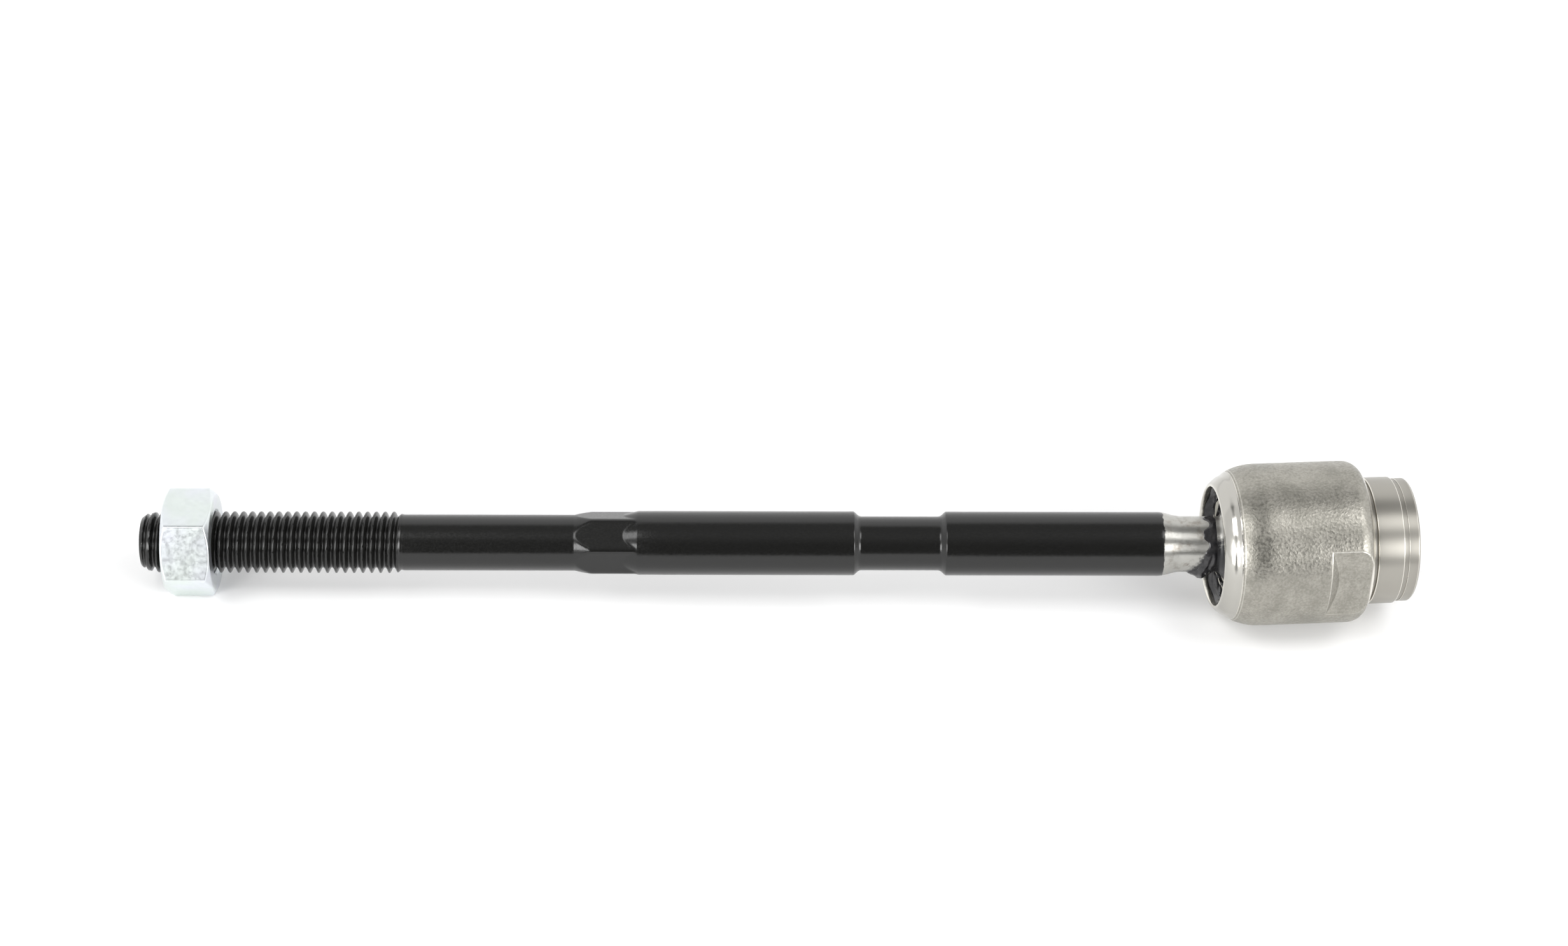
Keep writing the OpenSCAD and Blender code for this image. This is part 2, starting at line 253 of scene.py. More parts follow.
def add_piece(name, mesh, body, material, sharp=35, replaced=()):
    """An object at the origin with smooth faces, and sharp edges where they turn by more than the angle."""
    mesh.polygons.foreach_set("use_smooth", np.ones(len(mesh.polygons), bool))
    mesh.set_sharp_from_angle(angle=math.radians(sharp))
    piece = bpy.data.objects.new(name, mesh)
    bpy.context.scene.collection.objects.link(piece)
    mesh.materials.append(material)
    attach(piece, body)
    if replaced:
        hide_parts(*replaced)


def bend(start, corner, end, steps):
    """Points of the curve (1-t)^2 A + 2t(1-t) P + t^2 B from start A to end B, towards corner P."""
    t = np.linspace(0, 1, steps)[:, None]
    return (1 - t) ** 2 * start + 2 * t * (1 - t) * corner + t ** 2 * end


def straight(z, radius):
    """Points (z, r) at one radius."""
    return np.stack([z, np.full_like(z, radius)], -1)


def rounded(points, cut, steps=4):
    """A profile with rounded corners.

    Each inner corner gives way to a bend between two points on its sides, the cut's length away, or
    less where a side is short. The cut is one length, or one for each inner corner.
    """
    points = np.asarray(points, float)
    made = [points[:1]]
    cuts = np.broadcast_to(cut, len(points) - 2)
    for before, corner, after, most in zip(points, points[1:], points[2:], cuts):
        near, far = before - corner, after - corner
        sides = [np.linalg.norm(v) for v in (near, far)]
        reach = min(most, 0.45 * sides[0], 0.45 * sides[1])
        start, end = corner + near / sides[0] * reach, corner + far / sides[1] * reach
        made.append(bend(start, corner, end, steps))
    return np.concatenate(made + [points[-1:]])


def refined(profile, step):
    """The same profile with extra points, so that no side is longer than the step."""
    made = [profile[:1]]
    for start, end in zip(profile, profile[1:]):
        parts = max(1, math.ceil(np.linalg.norm(end - start) / step))
        made.append(start + (end - start) * np.arange(1, parts + 1)[:, None] / parts)
    return np.concatenate(made)


def smooth_min(a, b, blend):
    """The smaller of a and b, with the corner between them rounded over the blend's length."""
    share = np.clip(0.5 + 0.5 * (b - a) / blend, 0, 1)
    return b + (a - b) * share - blend * share * (1 - share)


def eased(x):
    """3x^2 - 2x^3 between 0 and 1: a step with soft ends."""
    x = np.clip(x, 0, 1)
    return x * x * (3 - 2 * x)


def hexagon(angle, flat):
    """Distance to a hexagon's side at an angle: flat / cos of the angle from the side's middle."""
    return flat / np.cos(angle % (TURN / 6) - TURN / 12)


def all_round(columns):
    """Evenly spaced angles all the way round, as one row."""
    return np.arange(columns)[None] * TURN / columns


def swept(z, radius, angle):
    """Rings of points (r cos a, r sin a, z), with a row for each ring and a column for each angle."""
    return np.stack(np.broadcast_arrays(radius * np.cos(angle), radius * np.sin(angle), z), -1)


def lumps(u, v, seed):
    """Smooth unevenness, mostly between -1 and 1.

    It is the sum of six products sin(k u + p) sin(m v + q), divided by 2.2. k is a whole number, so
    that the lumps close round a full turn of u.
    """
    draw = np.random.default_rng(seed)
    total = 0
    for wave in range(1, 7):
        k = round(draw.uniform(0.6, 1.4) * wave * 2)
        m = draw.uniform(0.6, 1.4) * wave
        p, q = draw.uniform(0, TURN, 2)
        total = total + np.sin(k * u + p) * np.sin(m * v + q) / 2.2
    return total


def thread_radius(z, angle, crest, root, pitch):
    """Radius of a left-hand thread at distance z and angle a, although the real threads are right-hand.

    The distance to the nearest crest is |z/p + a/360 - its whole part - 1/2| p. The flanks fall at
    60 degrees to the axis beside a crest an eighth of the pitch wide, and an eased share of the fall
    rounds crest and root.
    """
    depth = crest - root
    turns = z / pitch + angle / TURN
    off = np.abs(turns - np.floor(turns) - 0.5) * pitch
    fall = np.clip((off - pitch / 16) / (depth * math.tan(math.radians(30))), 0, 1)
    return crest - depth * (0.55 * fall + 0.45 * eased(fall))


def rod_stations(size):
    """Where each stretch of the rod begins, or the last one ends, counted from the ball's centre."""
    steps = {
        "bar": size["neck_len"] + size["neck_taper"], "groove": size["bar_back_len"],
        "floor": size["groove_ramp"], "floor_end": size["groove_len"], "front": size["groove_ramp"],
        "runout": size["bar_front_len"], "flats": size["hex_runout"], "rise": size["hex_len"],
        "shank": size["hex_rise"], "thread": size["shank_len"], "tip": size["thread_len"],
    }
    return dict(zip(steps, np.cumsum(list(steps.values()))))


def rod_profile(size, at):
    """The rod's turned form as points (z, r), from the back of the ball to the middle of the tip.

    It runs over the ball, r = sqrt(R^2 - z^2), up the neck and the taper, over the bar and the boot
    groove, through the place of the hexagon, and over the shank and the thread's crests to the tip.
    """
    ball, neck, bar, groove = size["ball_r"], size["neck_r"], size["bar_r"], size["groove_r"]
    shank, tip = size["shank_r"], at["tip"]
    # The neck flares by 0.45 mm where it meets the ball
    foot = neck + 0.45
    foot_at = math.sqrt(ball ** 2 - foot ** 2)
    around = np.linspace(math.pi, math.asin(foot / ball), 40)
    ball_part = np.stack([ball * np.cos(around), ball * np.sin(around)], -1)
    flare = bend([foot_at, foot], [foot_at + 0.25, neck], [foot_at + 1, neck], 7)[1:]
    t = np.linspace(0, 1, 17)
    taper = np.stack([size["neck_len"] + size["neck_taper"] * t, neck + (bar - neck) * eased(t)], -1)
    longest = 6
    bars = refined(rounded([
        (at["bar"] + 0.5, bar), (at["groove"], bar), (at["floor"], groove), (at["floor_end"], groove),
        (at["front"], bar), (at["runout"], bar),
    ], (0.25, 0.6, 0.6, 0.25), 6), longest)
    hex_z = np.arange(at["runout"] + 0.2, at["shank"] + 0.6, 0.2)
    hex_part = np.stack([hex_z, np.interp(hex_z, [at["rise"], at["shank"]], [bar, shank])], -1)
    shank_part = refined(np.array([(at["shank"] + 1, shank), (at["thread"] - 0.3, shank)]), longest)
    thread = straight(np.linspace(at["thread"], tip, 400), size["thread_r"])
    end_face = [(tip, size["tip_r"] * 0.55), (tip, 0)]
    return np.concatenate([ball_part, flare, taper, bars, hex_part, shank_part, thread, end_face])


def rod_mesh(sizes):
    """The whole rod as one surface r(z, a) between two poles.

    Over the wrench hexagon, r is the smaller of the turned form and of the larger of two others: the
    hexagon and its run-out cone. The thread rises out of the shank and stays under the tip's lead.
    """
    size = lengths(sizes)
    at = rod_stations(size)
    profile = rod_profile(size, at)
    z, turned = profile[:, :1], profile[:, 1:]
    angle = all_round(sizes.columns)

    cone = np.interp(z, [at["runout"], at["flats"]], [size["bar_r"], size["hex_r"]])
    flats = np.maximum(hexagon(angle, size["hex_r"]), cone)
    in_hex = (z >= at["runout"]) & (z <= at["shank"] + 0.1)
    radius = np.where(in_hex, smooth_min(turned, flats, 0.06), turned + 0 * angle)

    crest, shank, pitch = size["thread_r"], size["shank_r"], size["thread_pitch"]
    thread = thread_radius(z, angle, crest, crest - ROD_THREAD_DEPTH * pitch, pitch)
    rise_from, rise_len = 0.2, 2.2
    thread = shank + (thread - shank) * eased((z - at["thread"] - rise_from) / rise_len)
    # The lead's corner points: distance from the tip, and radius
    lead = np.interp(at["tip"] - z, [0, 1.1, 3.2, 4], [size["tip_r"], 6.4, 6.8, crest])
    on_thread = (z >= at["thread"]) & (turned > crest - 0.01)
    radius = np.where(on_thread, np.minimum(thread, lead), radius)
    radius[0] = radius[-1] = 0
    return closed_mesh("tie_rod_steel", swept(z, radius, angle), ROD_PLACE, True)


def housing_stations(size):
    """Where the parts of the housing's rear begin, counted from the mouth."""
    floor = size["total_len"] - size["collar_depth"]
    collar = size["total_len"] - size["collar_len"]
    hub_end = collar - size["relief_w"]
    return {
        "hub": hub_end - size["hub_len"], "hub_end": hub_end, "collar": collar, "floor": floor,
        "web": floor - size["bore_len"],
    }


def housing_profile(size, at):
    """The housing's turned form as points (z, r), and the name of the stretch that each point is on.

    It runs from the cavity's floor out of the mouth, over lip, nose, body, shoulder, hub and collar,
    and back in through the bore. The nose is R - (R - r) u^2.2, where u falls from 1 at the lip to 0
    at the body. The roller leaves a shallow hollow behind the lip and a fine groove beyond its line.
    """
    mouth, body, total = size["mouth_r"], size["body_r"], size["total_len"]
    lip_r, lip_slope, nose_len = mouth + size["lip_w"], size["lip_slope"], size["nose_len"]
    cavity = rounded([
        (size["cavity_len"], 0), (size["cavity_len"], size["cavity_r"]), (size["lip_back"], size["cavity_r"]),
        (size["lip_land"], mouth), (0.5, mouth),
    ], 0.3)
    lip = bend([0.5, mouth], [-0.35, mouth + 0.35], [lip_slope, lip_r], 13)[1:]
    nose_z = np.append(np.linspace(lip_slope, 6, 34)[1:], np.linspace(6, nose_len, 18)[1:])
    left = (nose_len - nose_z) / (nose_len - lip_slope)
    rolled = np.clip((nose_z - lip_slope) / (size["roller_at"] - lip_slope), 0, 1)
    hollow_depth, groove_depth, groove_at, groove_w = 0.16, 0.07, 0.25, 0.16
    hollow = hollow_depth * np.sin(math.pi * rolled) ** 2
    groove = groove_depth * np.exp(-((nose_z - size["roller_at"] - groove_at) / groove_w) ** 2)
    nose = np.stack([nose_z, body - (body - lip_r) * left ** 2.2 - hollow - groove], -1)
    # Rows lie far apart on the plain body and close together where the flats run out
    plain_z = np.arange(nose_len + 2, size["flat_at"] - 0.5, 2.5)
    ramp_z = np.arange(size["flat_at"] - 0.4, size["flat_at"] + size["flat_ramp"] + 0.4, 0.1)
    quarter = np.linspace(0, math.pi / 2, 22)
    shoulder = np.stack([
        size["shoulder_at"] - size["shoulder_len"] * (1 - np.sin(quarter)),
        body - size["shoulder_drop"] * (1 - np.cos(quarter)),
    ], -1)

    relief, hub, collar, bore = size["relief_r"], size["hub_r"], size["collar_r"], size["bore_r"]
    chamfer, bore_chamfer = 0.4, 0.8
    rear = rounded([
        shoulder[-1], (size["shoulder_at"], relief), (at["hub"], relief), (at["hub"], hub),
        (at["hub_end"], hub), (at["hub_end"], relief), (at["collar"], relief), (at["collar"], collar),
        (total - chamfer, collar), (total, collar - chamfer), (total, size["collar_bore"]),
        (at["floor"], size["collar_bore"]), (at["floor"], bore + bore_chamfer),
        (at["floor"] - bore_chamfer, bore),
    ], [0.5, 0.4, 0.25, 0.25, 0.3, 0.3, 0.2] + [0.16] * 5, 6)[1:]
    stretches = {
        "inside": np.concatenate([cavity, lip]),
        "outside": np.concatenate([nose, straight(np.append(plain_z, ramp_z), body), shoulder]),
        "rear": rear,
        "thread": straight(np.linspace(at["floor"] - 0.9, at["web"], 110), bore),
        "web": np.array([(at["web"], 4.0), (at["web"], 0)]),
    }
    names = np.repeat(list(stretches), [len(points) for points in stretches.values()])
    return np.concatenate(list(stretches.values())), names[:, None]


def housing_angles(size, normal, columns):
    """Angles round the housing, with extra ones near the four long edges of the flats."""
    near, count = 0.9, 15
    edge = math.acos(size["flat_r"] / size["body_r"])
    extra = np.linspace(-near, near, count) / size["body_r"]
    edges = [normal + half + way * edge + extra for half in (0, math.pi) for way in (-1, 1)]
    return np.unique(np.round(np.append(all_round(columns), np.concatenate(edges) % TURN), 6))[None]


def outward_corners(profile):
    """How sharply the outline turns outwards at each point: 0 below 0.1 radians, 1 above 0.25."""
    step = np.diff(profile, axis=0)
    a, b = step[:-1], step[1:]
    turned = np.arctan2(a[:, 0] * b[:, 1] - a[:, 1] * b[:, 0], (a * b).sum(1))
    return np.clip((-np.concatenate([[0], turned, [0]]) - 0.1) / 0.15, 0, 1)[:, None]


def housing_mesh(sizes):
    """The housing as one surface r(z, a) between two poles, one in the cavity and one in the bore.

    On the body, r is the smaller of the turned form and of the larger of two others: the flat
    f / |cos(a - a0)|, and the cone that runs the flat out. In the bore, a thread is cut outwards.
    A point attribute holds, from 0 to 1, how bright each point is painted: partly rubbed steel, partly a
    painted highlight.
    """
    size = lengths(sizes)
    at = housing_stations(size)
    profile, stretch = housing_profile(size, at)
    z, turned = profile[:, :1], profile[:, 1:]
    # The frame's +Z is the profile's -X, so the near flat's normal stands at -90 - turn degrees
    normal = -math.pi / 2 - sizes.flat_turn
    angle = housing_angles(size, normal, sizes.columns)

    on_body = stretch == "outside"
    near_flat = on_body & (z > size["flat_at"] - 0.3)
    flat = size["flat_r"] / np.maximum(np.abs(np.cos(angle - normal)), 0.05)
    ramp_end = size["flat_at"] + size["flat_ramp"]
    cone = np.interp(z, [size["flat_at"], ramp_end], [size["body_r"] + 0.3, size["flat_r"]])
    cutter = np.maximum(flat, cone)
    edge_blend, rim_w = 0.22, 0.85
    cut = smooth_min(turned, cutter, edge_blend)
    radius = np.where(near_flat, np.minimum(cut, turned), turned + 0 * angle)

    # Bright are outward corners, the shoulder's rim and the flats' edges: partly rubbed steel, partly a
    # painted highlight, so the flats' edges are painted brighter on the upper side where the lamps catch them
    rim = np.clip((z - size["shoulder_at"] + rim_w) / 0.2, 0, 0.8) * on_body
    taken = np.clip((np.minimum(turned, cutter) - cut - 0.02) / 0.025, 0, 1)
    # The painted highlight on the flats' edges is stronger on the upper side and weak on the lower side
    upper = np.clip(0.45 - 0.8 * np.cos(angle), 0.15, 1)
    wear_and_highlight = np.maximum(outward_corners(profile), rim)
    wear_and_highlight = np.maximum(wear_and_highlight, np.where(near_flat, taken * upper, 0))

    bore, pitch = size["bore_r"], size["bore_pitch"]
    thread = thread_radius(z, angle, bore + BORE_THREAD_DEPTH * pitch, bore, pitch)
    fade = eased((at["floor"] - z - 0.9) / 0.8) * eased((z - at["web"] - 0.1) / 1.5)
    radius = np.where(stretch == "thread", bore + (thread - bore) * fade, radius)
    radius[0] = radius[-1] = 0
    mesh = closed_mesh("housing_steel", swept(z, radius, angle), HOUSING_PLACE, True)
    # The mesh keeps these marks of rubbed steel and painted highlight as a point attribute
    values = np.concatenate([wear_and_highlight[0, :1], wear_and_highlight[1:-1].ravel(), wear_and_highlight[-1, :1]])
    mesh.attributes.new("wear_and_highlight", "FLOAT", "POINT").data.foreach_set("value", values)
    return mesh


def nut_mesh(sizes, rod_len):
    """The nut as a closed ring surface: outside, end faces, countersinks and bore.

    The outside is the smaller of the hexagon and the chamfer's cone face_r + depth / tan(chamfer),
    blended so that the corners are as soft as on a rolled bar.
    """
    size = lengths(sizes)
    thick, face, bore, sink = size["thickness"], size["face_r"], size["bore_r"], size["sink"]
    near = np.append(np.linspace(0, 2, 22), np.linspace(2.6, thick / 2, 5))
    depth = np.append(near, (thick - near)[::-1][1:])
    inset = np.minimum(depth, thick - depth)[:, None]
    angle = all_round(sizes.columns)
    # Sides up and down: a side's middle stands at angle 0
    sides = hexagon(angle + TURN / 12, size["flat_r"])
    corner_r = size["flat_r"] / math.cos(math.pi / 6)
    sides = smooth_min(sides, corner_r - 0.12, 0.2)
    outer = smooth_min(sides, face + inset / math.tan(sizes.chamfer), 0.3)
    # Each end face has a ring near its rim and one near its countersink, so that it shades flat
    near_rim, near_sink = face - 1.2, bore + sink + 0.5
    inner = np.array([
        (thick, near_rim), (thick, near_sink), (thick, bore + sink), (thick - sink, bore),
        (sink, bore), (0, bore + sink), (0, near_sink), (0, near_rim),
    ])
    z = np.append(depth, inner[:, 0]) + rod_len - size["from_tip"] - thick
    radius = np.concatenate([outer, inner[:, 1:] + 0 * angle])
    return closed_mesh("jam_nut_steel", swept(z[:, None], radius, angle), ROD_PLACE, False)


def neck_grease_mesh(sizes):
    """A band round the neck whose height over the steel is g(z, a).

    g is a hump on the low near side, where the smear hangs, plus lumps, and falls below the steel
    elsewhere, so that only the smear shows. The band's inner side lies under the steel.
    """
    neck = lengths(sizes)["neck_r"]
    # All distances are counted from the ball's centre
    start, end, film_end, hump_at = 10.6, 20.6, 14.2, 14.4
    film, under = 0.10, 0.06
    z = np.linspace(start, end, 70)[:, None]
    angle = all_round(160)
    low = math.radians(218)
    side = np.cos(angle - low)
    edge = film_end + 0.8 * lumps(angle, z / 4, 3) + 3.4 * np.clip(side, -0.3, 1) ** 3
    body = eased((edge - z) / 1.2) * eased((z - start - 0.3) / 1.0)
    hump = 1.2 * np.clip(side, 0, 1) ** 4 * np.exp(-((z - hump_at) / 1.7) ** 2)
    uneven = 0.10 * lumps(angle, z / 1.2, 5) * (0.35 + np.clip(side, 0, 1))
    height = body * (film + hump + uneven + 0.16 * np.clip(side + 0.3, 0, 1)) - under * (1 - body)
    outer = neck + height
    inner = np.full_like(outer, neck - 0.35)
    rings = swept(np.concatenate([z, z[::-1]]), np.concatenate([outer, inner]), angle)
    return closed_mesh("neck_grease_smear", rings, ROD_PLACE, False)


def mouth_grease_mesh():
    """A ring of grease in the corner between the lip's bore, the seat's face and its flare.

    Across the ring, the free side runs from the bore down to the flare's inner edge, and lumps
    raise and lower it within the room that the swinging neck leaves.
    """
    angle = all_round(240)
    t = np.linspace(0, 1, 26)[:, None]
    # Corner points of the free side, from the bore to the seat's inner edge
    along = [0, 0.3, 0.6, 1]
    free_z = np.interp(t, along, [0, 2.9, 4.1, 6.35])
    free_r = np.interp(t, along, [13.47, 12.45, 11.72, 10.72])
    # Corner points of the back, from the seat's inner edge to the bore
    back_z = np.array([6.7, 3.7, 3.7, 2.6])[:, None]
    back_r = np.array([10.95, 12.6, 13.95, 13.7])[:, None]
    top = 1.7 + 0.55 * lumps(angle, 0 * angle, 11)
    ripple = lumps(angle, 7 * t, 7) * np.sin(math.pi * t)
    z = np.concatenate([free_z + top * np.clip(1 - t / 0.3, 0, 1) - 0.32 * ripple, back_z + 0 * angle])
    radius = np.concatenate([free_r - 0.16 * ripple, back_r + 0 * angle])
    return closed_mesh("mouth_grease_ring", swept(z, radius, angle), HOUSING_PLACE, False)


def node(tree, kind, inputs=(), **settings):
    """Adds a node, sets its fields, and gives its inputs values or other nodes' outputs."""
    made = tree.nodes.new(kind)
    for field, value in settings.items():
        setattr(made, field, value)
    for key, value in dict(inputs).items():
        if isinstance(value, bpy.types.NodeSocket):
            tree.links.new(value, made.inputs[key])
        else:
            made.inputs[key].default_value = value
    return made


def maths(tree, operation, *values):
    """The result of a math node."""
    return node(tree, "ShaderNodeMath", enumerate(values), operation=operation).outputs[0]


def along_axis(tree, vector, axis):
    """How far a vector reaches along an axis of length 1."""
    return node(tree, "ShaderNodeVectorMath", {0: vector, 1: tuple(axis)},
                operation="DOT_PRODUCT").outputs["Value"]


def noise(tree, place, scale, detail=2.0, roughness=0.5):
    """Noise between 0 and 1, whose scale counts its lumps per metre."""
    return node(tree, "ShaderNodeTexNoise", {
        "Vector": place, "Scale": scale, "Detail": detail, "Roughness": roughness,
    }).outputs[0]


def ramp(tree, value, start, end, low=0.0, high=1.0, **settings):
    """A number that goes from low to high while the value goes from start to end."""
    return node(tree, "ShaderNodeMapRange", {
        "Value": value, "From Min": start, "From Max": end, "To Min": low, "To Max": high,
    }, **settings).outputs[0]


# A mix node's inputs 2 and 3 are its two numbers, and 6 and 7 its two colours
def colour_between(tree, share, first, second):
    """A mix of two colours with this share of the second."""
    return node(tree, "ShaderNodeMix", {0: share, 6: first, 7: second}, data_type="RGBA").outputs[2]


def number_between(tree, share, first, second):
    """A mix of two numbers with this share of the second."""
    return node(tree, "ShaderNodeMix", {0: share, 2: first, 3: second}, data_type="FLOAT").outputs[0]


def heights(tree, *waves):
    """The sum of several waves between 0 and 1, each times its own height in microns."""
    total = 0.0
    for wave, height in waves:
        total = maths(tree, "MULTIPLY_ADD", wave, height * MICRON, total)
    return total


def bumped(tree, height):
    """The surface's normal, tilted by a relief that is given in metres."""
    return node(tree, "ShaderNodeBump", {"Height": height, "Distance": 1.0, "Strength": 1.0}).outputs[0]


def turning_axis(tree, axis):
    """The axis of turning as a direction in the world: turning marks spread highlights along it."""
    return node(tree, "ShaderNodeVectorTransform", {0: tuple(axis)}, vector_type="VECTOR",
                convert_from="OBJECT", convert_to="WORLD").outputs[0]


def new_material(name):
    """A material without nodes, and its tree."""
    material = bpy.data.materials.new(name)
    material.use_nodes = True
    material.node_tree.nodes.clear()
    return material, material.node_tree


def own_place(tree):
    """The point on the surface in the object's own coordinates."""
    return node(tree, "ShaderNodeTexCoord").outputs["Object"]


def shaded(material, tree, inputs):
    """The material, closed with a principled shader that has these inputs."""
    shader = node(tree, "ShaderNodeBsdfPrincipled", inputs)
    node(tree, "ShaderNodeOutputMaterial", {0: shader.outputs[0]})
    return material


def coated_rod_material(look):
    """Black electrocoat over forged steel, bare on the neck and the ball.

    The coating is a glossy dielectric with a fine orange peel. Where it ends, turned steel shows with
    brown handling stains, and a dark film of grease near the socket.
    """
    material, tree = new_material("Black electrocoat on forged steel")
    sizes = bpy.context.scene.tie_rod_sizes
    place = own_place(tree)
    from_ball = node(tree, "ShaderNodeVectorMath", {0: place, 1: (BALL_X * MM, 0, 0)},
                     operation="SUBTRACT").outputs[0]
    along = along_axis(tree, from_ball, ROD_AXIS)
    ragged = maths(tree, "MULTIPLY_ADD", noise(tree, place, 520.0, 3.0), 1.1 * MM, along)
    coated = ramp(tree, ragged, sizes.coat_at + 0.45 * MM, sizes.coat_at + 0.60 * MM)
    uncoated = maths(tree, "SUBTRACT", 1.0, coated)
    # The film of grease reaches further from the ball on the low near side
    low_side = along_axis(tree, from_ball, (0.0, -0.55, -0.835))
    stain = noise(tree, place, 420.0, 6.0, 0.65)
    film_edge = maths(tree, "MULTIPLY_ADD", low_side, 0.9, sizes.film_at)
    film_edge = maths(tree, "MULTIPLY_ADD", stain, 10 * MM, film_edge)
    film = ramp(tree, maths(tree, "SUBTRACT", film_edge, along), 4.0 * MM, 5.8 * MM)
    metal = maths(tree, "MULTIPLY", maths(tree, "SUBTRACT", 1.0, film), uncoated)

    stained = ramp(tree, stain, 0.50, 0.78)
    colour = colour_between(tree, stained, linear(look.steel), linear(from_hex("#7d746a")))
    colour = colour_between(tree, film, colour, linear(look.grease))
    colour = colour_between(tree, coated, colour, linear(look.coating))
    fine = noise(tree, place, 2600.0)
    peel = noise(tree, place, 700.0, 1.0)
    rough = maths(tree, "MULTIPLY_ADD", uncoated, 0.15, ramp(tree, fine, 0.3, 0.7, 0.16, 0.27))
    return shaded(material, tree, {
        "Base Color": colour, "Metallic": metal, "Roughness": rough,
        "Normal": bumped(tree, heights(tree, (peel, 10), (fine, 3.5), (coated, 50))),
        "Anisotropic": maths(tree, "MULTIPLY", metal, 0.85), "Tangent": turning_axis(tree, ROD_AXIS),
    })


def forged_housing_material(look):
    """Forged steel, tumbled to a satin skin, with a rolled lip, a turned hub, and bright edges that are
    partly rubbed steel and partly a painted highlight.

    The lip is burnished by the roller, so it is nearly a mirror, and slightly wavy. The body is
    mottled and sparkles in small pits. The hub and the collar carry fine turning lines. Where the
    mesh's attribute marks an edge, it is painted pale and made smooth: partly rubbed steel, partly a
    painted highlight.
    """
    material, tree = new_material("Tumbled forged steel with turned hub")
    sizes = bpy.context.scene.housing_sizes
    place = own_place(tree)
    across = node(tree, "ShaderNodeSeparateXYZ", {0: place}).outputs[0]
    roller = MOUTH_X * MM + sizes.roller_at
    rear = MOUTH_X * MM + sizes.shoulder_at
    rolled = ramp(tree, across, roller + 0.1 * MM, roller - 0.2 * MM)
    turned = ramp(tree, across, rear - 1.1 * MM, rear - 0.8 * MM)
    smooth = maths(tree, "MAXIMUM", rolled, turned)
    # How bright an edge is painted, from the mesh: partly rubbed steel, partly a painted highlight
    wear_and_highlight = node(tree, "ShaderNodeAttribute", attribute_name="wear_and_highlight").outputs["Fac"]
    rough_skin = maths(tree, "SUBTRACT", 1.0, maths(tree, "MAXIMUM", smooth, wear_and_highlight))

    mottle = noise(tree, place, 160.0, 8.0, 0.68)
    grain = noise(tree, place, 1900.0, 3.0, 0.6)
    pits = noise(tree, place, 1500.0, 3.0)
    stretch = node(tree, "ShaderNodeMapping", {"Vector": place, "Scale": (5200.0, 60.0, 60.0)}).outputs[0]
    lines = noise(tree, stretch, 1.0)
    wavy = maths(tree, "MULTIPLY", noise(tree, place, 230.0, 1.0), rolled)

    shade = ramp(tree, maths(tree, "MULTIPLY_ADD", grain, 0.8, mottle), 0.72, 1.08)
    skin = colour_between(tree, shade, linear(from_hex("#8c8a82")), linear(look.forged))
    worked = colour_between(tree, rolled, linear(look.turned), linear(look.lip))
    colour = colour_between(tree, smooth, skin, worked)
    # Marked edges take a pale colour: rubbed steel and a painted highlight
    colour = colour_between(tree, wear_and_highlight, colour, linear(from_hex("#e4e1d9")))
    skin_rough = ramp(tree, pits, 0.35, 0.65, 0.50, 0.32)
    worked_rough = ramp(tree, across, rear + 0.1 * MM, rear + 0.6 * MM, 0.19, 0.44)
    rough = number_between(tree, smooth, skin_rough, worked_rough)
    relief = maths(tree, "MULTIPLY", heights(tree, (grain, 12), (pits, 75)), rough_skin)
    relief = maths(tree, "ADD", relief, heights(tree, (lines, 2.5), (wavy, 280)))
    return shaded(material, tree, {
        "Base Color": colour, "Metallic": 1.0, "Roughness": number_between(tree, wear_and_highlight, rough, 0.22),
        "Normal": bumped(tree, relief), "Anisotropic": maths(tree, "MULTIPLY", turned, 0.7),
        "Tangent": turning_axis(tree, (1, 0, 0)),
    })


def zinc_material(look):
    """Bright zinc plating over cold-formed steel.

    The plating is a pale, slightly blue metal. It follows the steel's uneven skin, so that it
    glitters in small flecks, and its tint drifts between a trace of green and a trace of blue.
    """
    material, tree = new_material("Bright zinc plate")
    place = own_place(tree)
    drift = ramp(tree, noise(tree, place, 110.0, 3.0), 0.35, 0.65)
    flecks = noise(tree, place, 900.0, 4.0, 0.6)
    grain = noise(tree, place, 2400.0)
    return shaded(material, tree, {
        "Base Color": colour_between(tree, drift, linear(from_hex("#dae1de")), linear(look.zinc)),
        "Metallic": 1.0, "Roughness": ramp(tree, flecks, 0.35, 0.65, 0.40, 0.28),
        "Normal": bumped(tree, heights(tree, (grain, 4), (flecks, 3.5))),
    })


def grease_material(look):
    """Molybdenum grease: nearly black, wet and glossy, with small ripples."""
    material, tree = new_material("Molybdenum grease")
    ripple = noise(tree, own_place(tree), 650.0, 3.0)
    shade = ramp(tree, ripple, 0.35, 0.7)
    return shaded(material, tree, {
        "Base Color": colour_between(tree, shade, linear(look.grease), linear(from_hex("#3a393a"))),
        "Roughness": 0.16, "IOR": 1.48, "Normal": bumped(tree, heights(tree, (ripple, 90))),
    })


def acetal_material(look):
    """Injection-moulded acetal: waxy, off-white, with a faint flow mottle."""
    material, tree = new_material("Moulded acetal")
    flow = noise(tree, own_place(tree), 300.0)
    return shaded(material, tree, {
        "Base Color": colour_between(tree, flow, linear(look.acetal), linear(from_hex("#c9c5b8"))),
        "Roughness": ramp(tree, flow, 0.0, 1.0, 0.38, 0.5), "IOR": 1.48,
    })


def spring_material():
    """Oil-tempered spring steel: dark, with an oily sheen that varies."""
    material, tree = new_material("Oil-tempered spring steel")
    heat = noise(tree, own_place(tree), 240.0, 4.0)
    return shaded(material, tree, {
        "Base Color": colour_between(tree, heat, linear(from_hex("#6f6d6c")), linear(from_hex("#8b8884"))),
        "Metallic": 1.0, "Roughness": ramp(tree, heat, 0.0, 1.0, 0.25, 0.4),
    })


